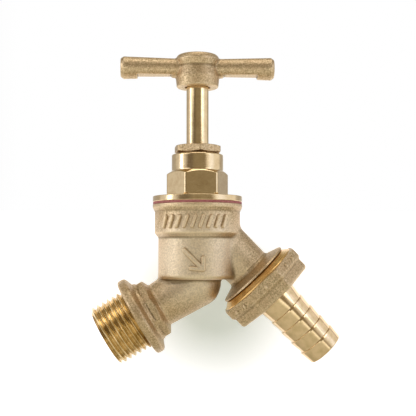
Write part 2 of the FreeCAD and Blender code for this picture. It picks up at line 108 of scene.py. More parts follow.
def outline_distance(outline, radius, station):
    """Signed distance to a closed outline in the plane of radius and station: the least distance to its
    sides, negative where an odd number of sides lies beyond the point."""
    nearest = np.full(radius.shape, 1e9)
    inside = np.zeros(radius.shape, bool)
    for start, end in zip(outline, np.roll(outline, -1, axis=0)):
        nearest = np.minimum(nearest, side_distance(radius, station, start, end))
        if start[1] != end[1]:
            crosses = (station < start[1]) != (station < end[1])
            lean = (end[0] - start[0]) / (end[1] - start[1])
            inside ^= crosses & (radius < start[0] + (station - start[1]) * lean)
    return np.where(inside, -nearest, nearest)


def soft_union(first, second, blend):
    """Distance to two shapes joined by a fillet: the lesser distance, less a sixth of the blend times
    the cube of how near the two distances are to each other."""
    near = np.maximum(blend - np.abs(first - second), 0) / blend
    return np.minimum(first, second) - near**3 * blend / 6


barrel_outline = rounded(
    [
        (0, 1.2, 0),
        (BARREL_RADIUS, 1.2, 1.3),
        (BARREL_RADIUS, 14.7, 0.6),
        (BAND_RADIUS, 16.2, 0.35),
        (BAND_RADIUS, 23.3, 0.9),
        (RIM_RADIUS, 24.6, 0.6),
        (RIM_RADIUS, RIM_TOP, 0.25),
        (0, RIM_TOP, 0),
    ]
)
elbow_outline = rounded(
    [(0, -7.15, 0), (8.3, -7.15, 7.8), (7.4, 14.55, 0), (7.4, TUBE_FAR, 0), (0, TUBE_FAR, 0)], steps=12
)
neck_outline = rounded([(0, -4.6, 0), (4.9, -4.6, 1.0), (6.75, -0.8, 1.5), (6.85, 3.6, 0), (0, 3.6, 0)])
tube_outline = np.array([(0, 4.0), (7.7, 4.0), (7.7, TUBE_FAR), (0, TUBE_FAR)])


def casting_distance(points):
    """Distance to the casting's skin: the barrel, its neck, the inlet and the outlet, softly joined."""
    radius, height = measured(points, UPRIGHT)
    barrel = outline_distance(barrel_outline, radius, height)
    neck = outline_distance(neck_outline, radius, height)
    inlet = outline_distance(elbow_outline, *measured(points, INLET))
    outlet = outline_distance(tube_outline, *measured(points, OUTLET))
    foot = soft_union(soft_union(neck, inlet, blend=4.0), barrel, blend=2.4)
    return soft_union(foot, outlet, blend=1.5)


def drawn_to(points, distance, reach):
    """Points moved down the slope of a distance until they lie on its surface, those within reach of it.
    The slope is the change of the distance over a small step along each axis."""
    step = 1e-3
    least_slope = 0.2
    moved = points.copy()
    near = np.abs(distance(moved)) < reach
    for _ in range(4):
        spots = moved[near]
        here = distance(spots)
        slope = np.stack([(distance(spots + side) - here) / step for side in np.eye(3) * step], -1)
        moved[near] = spots - slope * (here / np.maximum((slope**2).sum(1), least_slope))[:, None]
    return moved


def merged_copy(node):
    """A copy of a CAD node's mesh with its doubled corners merged."""
    work = bmesh.new()
    work.from_mesh(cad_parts[node].data)
    bmesh.ops.remove_doubles(work, verts=work.verts, dist=2e-6)
    return work


def voxel_mesh(name, work, voxel):
    """An even mesh over the same closed surface, with quads of the voxel's size in metres."""
    mesh = bpy.data.meshes.new(name)
    work.to_mesh(mesh)
    work.free()
    source = bpy.data.objects.new(name + "_source", mesh)
    bpy.context.scene.collection.objects.link(source)
    remesh = source.modifiers.new("even", "REMESH")
    remesh.mode = "VOXEL"
    remesh.voxel_size = voxel
    shaped = source.evaluated_get(bpy.context.evaluated_depsgraph_get())
    result = bpy.data.meshes.new_from_object(shaped)
    bpy.data.objects.remove(source)
    result.name = name
    return result


def mesh_points(mesh):
    """Corners of a mesh as an array, in mm from the crossing."""
    points = np.empty(len(mesh.vertices) * 3)
    mesh.vertices.foreach_get("co", points)
    return points.reshape(-1, 3) * 1000 - CROSSING


def give_relief(mesh, rounds=12, height=0.00012):
    """Store how far each corner stands proud of its surroundings: its height over the same mesh smoothed
    by rounds of averaging with its neighbours, as a share of a height in metres. Hollows are
    negative."""
    count = len(mesh.vertices)
    points, normals = np.empty(count * 3), np.empty(count * 3)
    ends = np.empty(len(mesh.edges) * 2, int)
    mesh.vertices.foreach_get("co", points)
    mesh.vertices.foreach_get("normal", normals)
    mesh.edges.foreach_get("vertices", ends)
    points = points.reshape(-1, 3)
    near, far = np.concatenate([ends[0::2], ends[1::2]]), np.concatenate([ends[1::2], ends[0::2]])
    neighbours = np.maximum(np.bincount(near, minlength=count), 1)
    smooth = points
    for _ in range(rounds):
        sums = [np.bincount(near, weights=smooth[far, side], minlength=count) for side in range(3)]
        smooth = (smooth + np.stack(sums, -1) / neighbours[:, None]) / 2
    relief = ((points - smooth) * normals.reshape(-1, 3)).sum(1) / height
    mesh.attributes.new("relief", "FLOAT", "POINT").data.foreach_set("value", np.clip(relief, -1, 1))


def draw_skin(mesh, points, kept, distance, reach):
    """Draw a mesh's corners within reach of a skin onto it, all but the kept ones, and store the
    relief."""
    points[~kept] = drawn_to(points[~kept], distance, reach)
    mesh.vertices.foreach_set("co", ((points + CROSSING) / 1000).ravel())
    mesh.update()
    give_relief(mesh)


def dressed(mesh, body, nodes, material):
    """A finished piece: smooth, at the origin, on its body, in place of its CAD nodes."""
    mesh.polygons.foreach_set("use_smooth", np.ones(len(mesh.polygons), bool))
    mesh.materials.clear()
    mesh.materials.append(material)
    piece = bpy.data.objects.new(mesh.name, mesh)
    bpy.context.scene.collection.objects.link(piece)
    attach(piece, body)
    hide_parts(*nodes)


def cut_end(work, axis, station):
    """The mesh cut square across a tube, with the ring between its skin and its bore closed again."""
    normal = (math.sin(axis[0]), 0, math.cos(axis[0]))
    centre = placed([0, 0, station], axis)
    everything = [*work.verts, *work.edges, *work.faces]
    cut = bmesh.ops.bisect_plane(work, geom=everything, plane_co=centre, plane_no=normal, clear_outer=True)
    rim = [item for item in cut["geom_cut"] if isinstance(item, bmesh.types.BMEdge)]
    bmesh.ops.bridge_loops(work, edges=rim)


def feed(tree, node, inputs):
    """Give a node's inputs their values: a number, several, or another node's socket."""
    for name, value in inputs.items():
        if isinstance(value, bpy.types.NodeSocket):
            tree.links.new(value, node.inputs[name])
        else:
            node.inputs[name].default_value = value
    return node


def added(tree, kind, inputs):
    """A new shader node of a kind with its inputs fed."""
    return feed(tree, tree.nodes.new("ShaderNode" + kind), inputs)


def calculated(tree, kind, operation, *values):
    """Result of a math node of a kind, each of whose values is a constant or a socket."""
    node = added(tree, kind, dict(enumerate(values)))
    node.operation = operation
    return node.outputs["Value"]


def noise(tree, place, scale, detail, roughness):
    """Smooth random values from 0 to 1 over a place."""
    values = {"Vector": place, "Scale": scale, "Detail": detail, "Roughness": roughness}
    return added(tree, "TexNoise", values).outputs["Fac"]


def spread(tree, value, span, result):
    """The span of a value stretched onto a result span, and held at its ends."""
    (low, high), (start, end) = span, result
    values = {"Value": value, "From Min": low, "From Max": high, "To Min": start, "To Max": end}
    return added(tree, "MapRange", values).outputs["Result"]


def blended(tree, share, first, second):
    """First colour where the share is 0, second where it is 1. A colour is three numbers or a socket."""
    node = tree.nodes.new("ShaderNodeMix")
    node.data_type = "RGBA"
    first, second = ((*colour, 1) if isinstance(colour, tuple) else colour for colour in (first, second))
    return feed(tree, node, {"Factor": share, 6: first, 7: second}).outputs[2]


def grouped(name, outputs):
    """An empty shader node group that takes a place, with its input node and its output node."""
    group = bpy.data.node_groups.new(name, "ShaderNodeTree")
    group.interface.new_socket(name="Place", in_out="INPUT", socket_type="NodeSocketVector")
    for socket in outputs:
        group.interface.new_socket(name=socket, in_out="OUTPUT", socket_type="NodeSocketFloat")
    return group, group.nodes.new("NodeGroupInput"), group.nodes.new("NodeGroupOutput")


def make_blasted_grain():
    """Group for a bead blasted skin: a fine speckle, soft clouds and the height of the dimples."""
    group, given, result = grouped("blasted_grain", ["Speckle", "Clouds", "Height"])
    place = given.outputs["Place"]
    speckle = spread(group, noise(group, place, 2000, 2, 0.65), (0.35, 0.65), (0, 1))
    clouds = spread(group, noise(group, place, 260, 2, 0.5), (0.35, 0.65), (0, 1))
    dimples = noise(group, place, 1700, 3, 0.6)
    feed(group, result, {"Speckle": speckle, "Clouds": clouds, "Height": dimples})
    return group


def new_material(name, metallic):
    """A material, its node tree, its shader and the piece's own coordinates."""
    material = bpy.data.materials.new(name)
    material.use_nodes = True
    tree = material.node_tree
    shader = feed(tree, tree.nodes["Principled BSDF"], {"Metallic": metallic})
    return material, tree, shader, added(tree, "TexCoord", {}).outputs["Object"]


def used(tree, group, place):
    """Outputs of a group that is placed in a material and fed with coordinates."""
    node = tree.nodes.new("ShaderNodeGroup")
    node.node_tree = group
    return feed(tree, node, {"Place": place}).outputs


def bumped(tree, height, strength, distance):
    """Normal of a surface with a height, which is one at a distance in metres."""
    values = {"Height": height, "Strength": strength, "Distance": distance}
    return added(tree, "Bump", values).outputs["Normal"]


blasted_grain = make_blasted_grain()


def make_cast_brass():
    """Bead blasted brass: a speckle of two tones under layers of colour, each with its share from a span
    of values. They are warmer clouds, painted light that makes the front paler, painted shade in the
    hollows and painted highlights on the raised edges."""
    material, tree, shader, place = new_material("cast_brass", metallic=1.0)
    grain = used(tree, blasted_grain, place)
    painted_light_distance = calculated(tree, "VectorMath", "DISTANCE", place, placed([0, -13, 7.5], UPRIGHT))
    stored = added(tree, "Attribute", {})
    stored.attribute_name = "relief"
    relief = stored.outputs["Fac"]
    layers = [
        (grain["Clouds"], (0, 1), (0, 0.35), (0.62, 0.43, 0.25)),
        # painted light: the casting is paler round a spot on the barrel's front, towards the camera
        (painted_light_distance, (0.011, 0.019), (0.5, 0), (0.86, 0.74, 0.58)),
        # painted shade: hollows of the relief are darkened where shade falls
        (relief, (-0.1, -0.9), (0, 0.75), (0.17, 0.115, 0.055)),
        # painted highlight: raised corners of the relief are made paler
        (relief, (0.15, 0.9), (0, 0.55), (0.85, 0.68, 0.46)),
    ]
    colour = blended(tree, grain["Speckle"], (0.36, 0.255, 0.14), (0.76, 0.59, 0.375))
    for value, span, share, tone in layers:
        colour = blended(tree, spread(tree, value, span, share), colour, tone)
    roughness = spread(tree, grain["Speckle"], (0, 1), (0.5, 0.4))
    normal = bumped(tree, grain["Height"], 0.8, 0.0002)
    feed(tree, shader, {"Base Color": colour, "Roughness": roughness, "Normal": normal})
    return material


cast_brass = make_cast_brass()


def make_casting():
    """The casting's skin: the CAD body cut short at its tubes' ends, meshed evenly and drawn to the
    outer skin. The walls of the waterways and of the valve chamber are kept, and so is a band at each
    cut."""
    work = merged_copy("tap_body")
    cut_end(work, INLET, INLET_CUT)
    cut_end(work, OUTLET, OUTLET_CUT)
    mesh = voxel_mesh("body_casting", work, 0.00034)
    points = mesh_points(mesh)
    radius, height = measured(points, UPRIGHT)
    inlet_radius, inlet_station = measured(points, INLET)
    outlet_radius, outlet_station = measured(points, OUTLET)
    chamber = (radius < 12.35) & (height > 2.4) & (height < RIM_TOP - 0.15)
    seat = (radius < 5.6) & (height > -4) & (height < 2.5)
    bend = np.linalg.norm(points, axis=1) < 6.3
    inlet_bore = (inlet_radius < 6.6) & (inlet_station > 0)
    outlet_bore = (outlet_radius < 6.5) & (outlet_station > 13)
    band = 0.3
    ends = (inlet_station > INLET_CUT - band) | (outlet_station > OUTLET_CUT - band)
    kept = chamber | seat | bend | inlet_bore | outlet_bore | ends
    draw_skin(mesh, points, kept, casting_distance, 1.2)
    dressed(mesh, "tap", ["tap_body"], cast_brass)


make_casting()

# Inlet collar and wrench ring
# Cast in one with the body: an eight-sided ring for a wrench, a valley, and the round collar whose flat
# side comes up against the wall fitting. The surface is blasted like the rest of the casting.


def soft_min(first, second, blend):
    """The lesser of two values, with the corner between them rounded off by a parabola."""
    near = np.maximum(blend - np.abs(first - second), 0) / blend
    return np.minimum(first, second) - near**2 * blend / 4


def grid(rows, columns, seam=0):
    """Faces of a grid closed round its columns. Past the last column the rows climb by seam, as in a
    helix."""
    row = np.arange(rows - 1)[:, None]
    column = np.arange(columns)[None, :]
    climb = np.where(column == columns - 1, seam, 0)
    ahead = (column + 1) % columns
    upper = row + 1 + climb
    corners = [(row, column), (row + climb, ahead), (upper, ahead), (row + 1, column)]
    quads = np.stack([np.broadcast_to(r * columns + c, upper.shape) for r, c in corners], -1)
    return quads[upper < rows]


def merged_mesh(name, points, quads):
    """A mesh of points and faces with its doubled corners merged, so that seams and poles are closed."""
    mesh = bpy.data.meshes.new(name)
    mesh.from_pydata(points.tolist(), [], quads.tolist())
    work = bmesh.new()
    work.from_mesh(mesh)
    bmesh.ops.remove_doubles(work, verts=work.verts, dist=1e-7)
    work.to_mesh(mesh)
    work.free()
    return mesh


def grid_mesh(name, grids, axis):
    """One mesh of several grids about an axis, each with its seam, merged where their edges meet."""
    points, quads, count = [], [], 0
    for spots, seam in grids:
        quads.append(grid(*spots.shape[:2], seam) + count)
        points.append(placed(spots, axis).reshape(-1, 3))
        count += len(points[-1])
    return merged_mesh(name, np.concatenate(points), np.concatenate(quads))


def polygon_radius(angle, sides, flats, corner, first):
    """Reach of a polygon at an angle: half its flats over the cosine, and on a corner's arc the reach of
    a circle of the corner's radius. First is the angle of a corner in degrees."""
    half = math.pi / sides
    off = np.abs((angle - math.radians(first) + half) % (2 * half) - half)
    centre = (flats / 2 - corner) / math.cos(half)
    arc = centre * np.cos(off) + np.sqrt(np.maximum(corner**2 - (centre * np.sin(off)) ** 2, 0))
    side = flats / 2 / np.cos(half - off)
    touches = math.atan2(corner * math.sin(half), centre + corner * math.cos(half))
    return np.where(off < touches, arc, side)


def around(radius, angle, station):
    """Points round an axis: radius times cosine and sine of the angle, and the station."""
    return np.stack(np.broadcast_arrays(radius * np.cos(angle), radius * np.sin(angle), station), -1)


def sided_grid(outline, reach, columns, inset=0.0):
    """Outline of limit and station carried round the axis and held inside a reach that changes with the
    angle: radius is the softened lesser of the limit and the reach less the inset."""
    angle = 2 * math.pi * np.arange(columns) / columns
    limit, station = outline[:, :1], outline[:, 1:2]
    radius = soft_min(limit, reach(angle, station) - inset, np.clip(limit / 10, 1e-6, 0.25))
    return around(radius, angle, station)


def dense(outline, step):
    """More points on an outline's long sides, no further apart than step."""
    filled = [outline[:1]]
    for start, end in zip(outline[:-1], outline[1:]):
        count = max(1, math.ceil(np.abs(end - start).max() / step))
        filled.append(start + (end - start) * np.arange(1, count + 1)[:, None] / count)
    return np.concatenate(filled)


def make_collar():
    """Wrench ring and collar as one outline round the inlet's axis. The reach is the ring's octagon
    between its edges, and grows in proportion to the distance beyond them."""
    ring_middle, ring_half, growth = 16.2, 1.6, 1.5
    corners = [(6.6, 13.2, 0), (7.34, 13.2, 0), (7.4, 14.1, 0), (7.45, 14.45, 0.6)]  # tube
    corners += [(10.4, 16.0, 0.5), (10.4, 17.7, 0.5)]  # wrench ring
    corners += [(9.2, 18.55, 0.9), (13.4, 20.1, 1.3), (13.4, 22.95, 0.9)]  # collar
    corners += [(9.0, 22.95, 0), (9.0, 22.0, 0), (6.6, 18.0, 0), (6.6, 13.2, 0)]  # back inside

    def reach(angle, station):
        ring = polygon_radius(angle, sides=8, flats=19.2, corner=0.8, first=22.5)
        return ring + growth * np.maximum(np.abs(station - ring_middle) - ring_half, 0)

    shape = sided_grid(dense(rounded(corners), 0.25), reach, 320)
    mesh = grid_mesh("inlet_collar", [(shape, 0)], INLET)
    give_relief(mesh, rounds=30, height=0.004)
    dressed(mesh, "tap", ["tap_body"], cast_brass)


make_collar()

# Inlet thread
# A half inch pipe thread cut on the casting's end, with a chamfered mouth and a bore behind it. The tool
# leaves bright golden flanks, and the crests are rounded.

PIPE_PITCH = 1.814
ROWS_PER_TURN = 26
THREAD_COLUMNS = 256


def make_turned_lines():
    """Group for a turned surface: fine lines round the piece's axis, from noise over radius and height,
    and faint wear over its place."""
    group, given, result = grouped("turned_lines", ["Lines", "Wear"])
    place = given.outputs["Place"]
    parts = added(group, "SeparateXYZ", {"Vector": place}).outputs
    level = added(group, "CombineXYZ", {"X": parts["X"], "Y": parts["Y"]}).outputs["Vector"]
    radius = calculated(group, "VectorMath", "LENGTH", level)
    track = added(group, "CombineXYZ", {"X": radius, "Y": parts["Z"]}).outputs["Vector"]
    wear = spread(group, noise(group, place, 420, 3, 0.6), (0.4, 0.75), (0, 1))
    feed(group, result, {"Lines": noise(group, track, 6500, 2, 0.6), "Wear": wear})
    return group


turned_lines = make_turned_lines()


def settled(tree, place, values):
    """Coordinates counted from a location, turned back by a rotation and divided by a scale."""
    node = added(tree, "Mapping", {"Vector": place, **values})
    node.vector_type = "TEXTURE"
    return node.outputs["Vector"]


def make_turned_brass(name, axis, light, deep, roughness, depth):
    """Turned brass with its lines round an axis: the light colour, and the deep one where it is worn.
    Depth is that of the lines, in metres."""
    material, tree, shader, place = new_material(name, metallic=1.0)
    upright = settled(tree, place, {"Location": placed([0, 0, 0], axis), "Rotation": (0, axis[0], 0)})
    marks = used(tree, turned_lines, upright)
    colour = blended(tree, marks["Wear"], light, deep)
    roughness = spread(tree, marks["Lines"], (0.3, 0.7), roughness)
    normal = bumped(tree, marks["Lines"], 0.5, depth)
    feed(tree, shader, {"Base Color": colour, "Roughness": roughness, "Normal": normal})
    return material


threaded_brass = make_turned_brass(
    "threaded_brass", INLET, (0.80, 0.61, 0.34), (0.42, 0.29, 0.11), (0.12, 0.22), 0.00001
)


def flank_height(angle, station, first, pitch, depth, slant):
    """Height of a thread's flank over its root: a quarter pitch less the distance from the crest's
    middle, over the tangent of the flank's slant in degrees, counted from half the depth."""
    turn = (station - first) / pitch - angle / (2 * math.pi)
    away = np.abs((turn + 0.5) % 1 - 0.5) * pitch
    return (pitch / 4 - away) / math.tan(math.radians(slant)) + depth / 2


def pipe_reach(angle, station, first, radius, pitch):
    """Radius of a right-hand pipe thread: 55 degree flanks between a rounded root and a rounded
    crest."""
    depth, softness = 0.64 * pitch, 0.45
    height = soft_min(flank_height(angle, station, first, pitch, depth, 27.5), depth, softness)
    return radius - depth - soft_min(-height, 0.0, softness)


def thread_grid(first, last, radius, pitch, chamfer, reach=pipe_reach):
    """Grid whose rows climb by one pitch in each turn, held between two stations and inside a
    chamfer."""
    angle = 2 * math.pi * np.arange(THREAD_COLUMNS) / THREAD_COLUMNS
    rows = math.ceil((last - first) / pitch + 1) * ROWS_PER_TURN + 1
    climb = (np.arange(rows)[:, None] / ROWS_PER_TURN - 1) * pitch
    station = np.clip(first + climb + pitch * angle / (2 * math.pi), first, last)
    limit = radius + chamfer - np.maximum(station - (last - 2 * chamfer), 0)
    return around(np.minimum(reach(angle, station, first, radius, pitch), limit), angle, station)


def round_grid(outline, columns):
    """Outline of radius and station carried round the axis in equal steps of the angle."""
    return around(outline[:, :1], 2 * math.pi * np.arange(columns) / columns, outline[:, 1:2])


def closed_thread(name, thread, corners, axis):
    """A thread whose two end rings are joined by an outline that runs back through the bore."""
    inner = round_grid(rounded(corners), THREAD_COLUMNS)
    inner[0], inner[-1] = thread[-1], thread[0]
    return grid_mesh(name, [(thread, ROWS_PER_TURN), (inner, 0)], axis)


def make_inlet_thread():
    """Thread from the collar to the mouth, and the bore back into the wrench ring."""
    start, mouth = 22.9, 34.7
    thread = thread_grid(start, mouth, radius=10.48, pitch=PIPE_PITCH, chamfer=0.7)
    corners = [(9.5, mouth, 0), (9.1, mouth, 0.1), (6.9, mouth, 0.1), (6.4, 34.2, 0.1)]  # mouth
    corners += [(6.4, 16.7, 0.1), (5.45, 15.7, 0.1), (5.45, 13.4, 0)]  # bore
    corners += [(6.5, 13.4, 0), (6.5, 19.0, 0), (8.9, 22.3, 0), (8.9, start, 0)]  # back inside
    mesh = closed_thread("inlet_thread", thread, corners, INLET)
    dressed(mesh, "tap", ["tap_body"], threaded_brass)


make_inlet_thread()

# Outlet skirt and union thread
# The outlet tube ends in a thin cast skirt that shades the union nut. A pipe thread and a turned seat
# stand out of it, and the nut pulls the tail's flange onto that seat.


def make_outlet_skirt():
    """Skirt as an outline round the outlet's axis, from the tube to its sharp rim and back inside it."""
    corners = [(6.4, 22.8, 0), (7.64, 22.8, 0), (7.7, 23.75, 0), (7.75, 24.5, 1.2)]  # tube
    corners += [(12.55, 26.1, 0.35), (12.85, 26.7, 0.12)]  # flare and rim
    corners += [(11.0, 26.75, 0), (6.4, 26.5, 0), (6.4, 22.8, 0)]  # back inside
    shape = round_grid(dense(rounded(corners), 0.3), 300)
    mesh = grid_mesh("outlet_skirt", [(shape, 0)], OUTLET)
    give_relief(mesh)
    dressed(mesh, "tap", ["tap_body"], cast_brass)


make_outlet_skirt()

outlet_brass = make_turned_brass(
    "outlet_thread_brass", OUTLET, (0.88, 0.62, 0.29), (0.78, 0.52, 0.22), (0.16, 0.28), 0.00001
)


def make_union_thread():
    """Thread between the skirt and the seat, the seat's flat face, and the bore behind it."""
    start, seat = 26.6, 31.5
    thread = thread_grid(start, seat, radius=11.456, pitch=PIPE_PITCH, chamfer=0.5)
    corners = [(10.3, seat, 0), (9.8, seat, 0.1), (5.6, seat, 0.25), (5.65, 23.3, 0)]  # seat and bore
    corners += [(6.3, 23.3, 0), (6.3, 26.3, 0), (10.0, start, 0)]  # back inside the skirt
    mesh = closed_thread("union_thread", thread, corners, OUTLET)
    dressed(mesh, "tap", ["tap_body"], outlet_brass)


make_union_thread()

# Raised foundry marks
# Plain marks stand out of the casting: a row of slanted bars round the band under the rim, and an arrow
# on the barrel that shows which way the water flows. They come from the mould, so their edges are soft.

MARKS_MIDDLE = math.radians(-96.9)  # angle of both marks' middle round the spindle's axis
MARK_CELL = 0.11
MARK_SUNK = 0.12  # depth of a mark's ground in the casting's skin
MARK_THICKNESS = 0.7


def strokes_height(across, along, strokes):
    """Height of raised strokes over a flat map: each is its peak inside its half width of a line, and
    falls away smoothly beyond it. A stroke is (across, along, across, along, half width, peak)."""
    head_start, fall_width = 0.1, 0.5
    height = np.zeros(np.broadcast_shapes(across.shape, along.shape))
    for *ends, half_width, peak in strokes:
        off = side_distance(across, along, ends[:2], ends[2:])
        fall = np.clip((off - half_width + head_start) / fall_width, 0, 1)
        height = np.maximum(height, peak * (1 - fall * fall * (3 - 2 * fall)))
    return height


def make_marks(name, radius, span, low, high, strokes):
    """A curved tile on the casting whose strokes stand proud: radius less the depth that the ground is
    sunk, plus the strokes' height, over angle and height, closed by a second face behind it."""
    across = np.linspace(-span / 2, span / 2, round(span / MARK_CELL))
    along = np.linspace(low, high, round((high - low) / MARK_CELL))[:, None]
    front = radius - MARK_SUNK + strokes_height(across, along, strokes)
    back = np.full(front.shape, radius - MARK_THICKNESS)
    edge = np.ones(front.shape, bool)
    edge[1:-1, 1:-1] = False
    front = np.where(edge, back, front)
    angle = MARKS_MIDDLE + across / radius
    shells = [around(front, angle, along), around(back, angle, along)[::-1]]
    points = placed(np.concatenate(shells).reshape(-1, 3), UPRIGHT)
    rows, columns = front.shape
    row, column = np.arange(rows - 1)[:, None], np.arange(columns - 1)[None, :]
    corners = [(row, column), (row, column + 1), (row + 1, column + 1), (row + 1, column)]
    quads = np.stack([r * columns + c for r, c in corners], -1).reshape(-1, 4)
    quads = np.concatenate([quads, quads + rows * columns])
    mesh = merged_mesh(name, points, quads)
    give_relief(mesh, rounds=24)
    dressed(mesh, "tap", ["tap_body"], cast_brass)


bar_count, bar_pitch, bar_slant = 9, 2.55, 0.55
bars = []
for place in range(bar_count):
    spot = bar_pitch * (place - (bar_count - 1) / 2)
    bars.append((spot - bar_slant, 18.2, spot + bar_slant, 21.4, 0.42, 0.95))
make_marks("band_marks", BAND_RADIUS, 24.4, 17.2, 22.4, bars)

arrow_tip, arrow_peak = (2.8, 4.6), 1.15
arrow = [
    (-3.0, 10.6, *arrow_tip, 0.6, arrow_peak),
    (*arrow_tip, -1.0, 4.9, 0.55, arrow_peak),
    (*arrow_tip, 2.9, 8.2, 0.55, arrow_peak),
]
make_marks("flow_arrow", BARREL_RADIUS, 8.6, 3.4, 11.7, arrow)

# Headworks washer
# A thin ring of red vulcanised fibre on the chamber's rim. The bonnet's flange squeezes it when the
# headworks is screwed down.

WASHER_BORE = 11.95
WASHER_RADIUS = 14.7
WASHER_TOP = 26.5


def make_fibre():
    """Pressed fibre: matte rose red with short pale fibres along its rim."""
    material, tree, shader, place = new_material("red_fibre", metallic=0.0)
    stretched = added(tree, "Mapping", {"Vector": place, "Scale": (1.0, 1.0, 5.0)}).outputs["Vector"]
    fibres = spread(tree, noise(tree, stretched, 1400, 3, 0.6), (0.35, 0.7), (0, 1))
    colour = blended(tree, fibres, (0.42, 0.10, 0.11), (0.62, 0.27, 0.25))
    normal = bumped(tree, fibres, 0.4, 0.00005)
    feed(tree, shader, {"Base Color": colour, "Roughness": 0.75, "Normal": normal})
    return material


def turned_piece(name, corners, axis, body, nodes, material):
    """A plain turned piece from its outline's corners."""
    mesh = grid_mesh(name, [(round_grid(rounded(corners), 224), 0)], axis)
    dressed(mesh, body, nodes, material)


washer_corners = [
    (WASHER_BORE, 26.1, 0),
    (WASHER_BORE, RIM_TOP, 0.05),
    (WASHER_RADIUS, RIM_TOP, 0.15),
    (WASHER_RADIUS, WASHER_TOP, 0.15),
    (WASHER_BORE, WASHER_TOP, 0.05),
    (WASHER_BORE, 26.1, 0),
]
turned_piece(
    "fibre_washer", washer_corners, UPRIGHT, "tap", ["headworks_washer"], make_fibre()
)

# Bonnet
# The headworks' cover is turned from brass hexagon bar: a threaded stub inside the chamber, a round
# flange on the washer, the bar's own hexagon for the spanner, and a round turret for the packing.

FLANGE_TOP = 28.4
TURRET_TOP = 42.3
SHAFT_HOLE = 3.76

polished_brass = make_turned_brass(
    "polished_brass", UPRIGHT, (0.82, 0.63, 0.38), (0.70, 0.51, 0.29), (0.12, 0.2), 0.000004
)


def hexagon_reach(low, high, flats, corner, first):
    """A reach that is a hexagon's between two stations, and past every limit elsewhere."""

    def reach(angle, station):
        hexagon = polygon_radius(angle, 6, flats, corner, first)
        return np.where((station > low) & (station < high), hexagon, 99.0)

    return reach


def make_bonnet():
    """Outline round the spindle's axis, held inside the hexagon's reach between the flange and the
    turret."""
    corners = [(5.6, 20.0, 0), (5.6, 17.5, 0.2), (11.85, 17.5, 0.5), (11.85, 25.8, 0)]  # stub
    corners += [(11.2, WASHER_TOP, 0), (14.8, WASHER_TOP, 0.2), (14.8, FLANGE_TOP, 0.25)]  # flange
    corners += [(9.6, FLANGE_TOP, 0.25), (10.45, 29.3, 0.3)]
    corners += [(10.45, 35.55, 0.5), (8.75, 36.6, 0.2)]  # hexagon
    corners += [(8.55, 36.75, 0), (8.55, TURRET_TOP, 0.55), (6.0, TURRET_TOP, 0.15)]  # turret
    corners += [(6.0, 34.2, 0), (SHAFT_HOLE, 34.2, 0), (SHAFT_HOLE, 31.2, 0)]  # stuffing box
    corners += [(5.6, 31.2, 0), (5.6, 20.0, 0)]  # screw's bore
    hexagon = hexagon_reach(28.6, 36.7, flats=18.0, corner=1.0, first=5.9)
    shape = sided_grid(dense(rounded(corners), 0.5), hexagon, 480)
    mesh = grid_mesh("bonnet_shell", [(shape, 0)], UPRIGHT)
    dressed(mesh, "tap", ["bonnet"], polished_brass)


make_bonnet()

# Packing and gland
# Three rings of greased packing lie in the turret under a brass washer. The gland nut, a small cast
# hexagon, is screwed in on top of them until the spindle is tight.


def make_packing():
    """Greased packing cord: pale yarn with fine twisted ridges."""
    material, tree, shader, place = new_material("greased_packing", metallic=0.0)
    yarn = spread(tree, noise(tree, place, 2600, 2, 0.5), (0.3, 0.7), (0, 1))
    colour = blended(tree, yarn, (0.45, 0.43, 0.38), (0.68, 0.66, 0.6))
    normal = bumped(tree, yarn, 0.5, 0.0001)
    feed(tree, shader, {"Base Color": colour, "Roughness": 0.5, "Normal": normal})
    return material


def finished(node, material):
    """A CAD node that keeps its own shape and gets its finish."""
    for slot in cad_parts[node].material_slots:
        slot.material = material


greased_packing = make_packing()
for ring in ("packing_ring_1", "packing_ring_2", "packing_ring_3"):
    finished(ring, greased_packing)
finished("gland_washer", polished_brass)


def make_gland_nut():
    """Outline round the spindle's axis, held inside a hexagon's reach above the turret."""
    corners = [(SHAFT_HOLE, 42.0, 0), (SHAFT_HOLE, 38.95, 0.1), (5.95, 38.95, 0.2)]  # shank
    corners += [(5.95, 42.8, 0.1), (7.0, 42.8, 0.3)]
    corners += [(8.3, 43.25, 0.3), (8.3, 44.85, 0.4), (7.0, 45.3, 0.5)]  # hexagon
    corners += [(3.95, 45.3, 0.15), (SHAFT_HOLE, 45.0, 0.05), (SHAFT_HOLE, 42.0, 0)]  # hole
    hexagon = hexagon_reach(42.5, math.inf, flats=14.4, corner=0.9, first=35.6)
    shape = sided_grid(dense(rounded(corners), 0.2), hexagon, 300)
    mesh = grid_mesh("gland_hexagon", [(shape, 0)], UPRIGHT)
    give_relief(mesh)
    dressed(mesh, "tap", ["gland_nut"], cast_brass)


make_gland_nut()

# Jumper valve
# A loose brass disc with a rubber washer under it. Its stem turns freely in the spindle's foot, and the
# washer closes the seat at the bottom of the chamber.


def make_rubber():
    """Moulded black rubber with a dusty bloom."""
    material, tree, shader, place = new_material("black_rubber", metallic=0.0)
    bloom = spread(tree, noise(tree, place, 900, 3, 0.6), (0.4, 0.7), (0, 1))
    colour = blended(tree, bloom, (0.02, 0.02, 0.02), (0.05, 0.05, 0.048))
    roughness = spread(tree, bloom, (0, 1), (0.5, 0.7))
    normal = bumped(tree, bloom, 0.3, 0.00004)
    feed(tree, shader, {"Base Color": colour, "Roughness": roughness, "Normal": normal})
    return material


black_rubber = make_rubber()
finished("valve_washer", black_rubber)
finished("jumper_valve", polished_brass)
finished("jumper_nut", polished_brass)

# Spindle
# One turned brass rod: a coarse screw in the bonnet lifts it as it turns, the polished shaft runs up
# through the packing, and a square on its end takes the handle.

SHAFT_RADIUS = 3.7
SHAFT_TOP = 66.2


def coarse_reach(angle, station, first, radius, pitch):
    """Radius of a right-hand coarse screw: steep flanks between a flat root and a flat crest."""
    depth = 0.45 * pitch
    return radius - depth + np.clip(flank_height(angle, station, first, pitch, depth, 14.5), 0, depth)


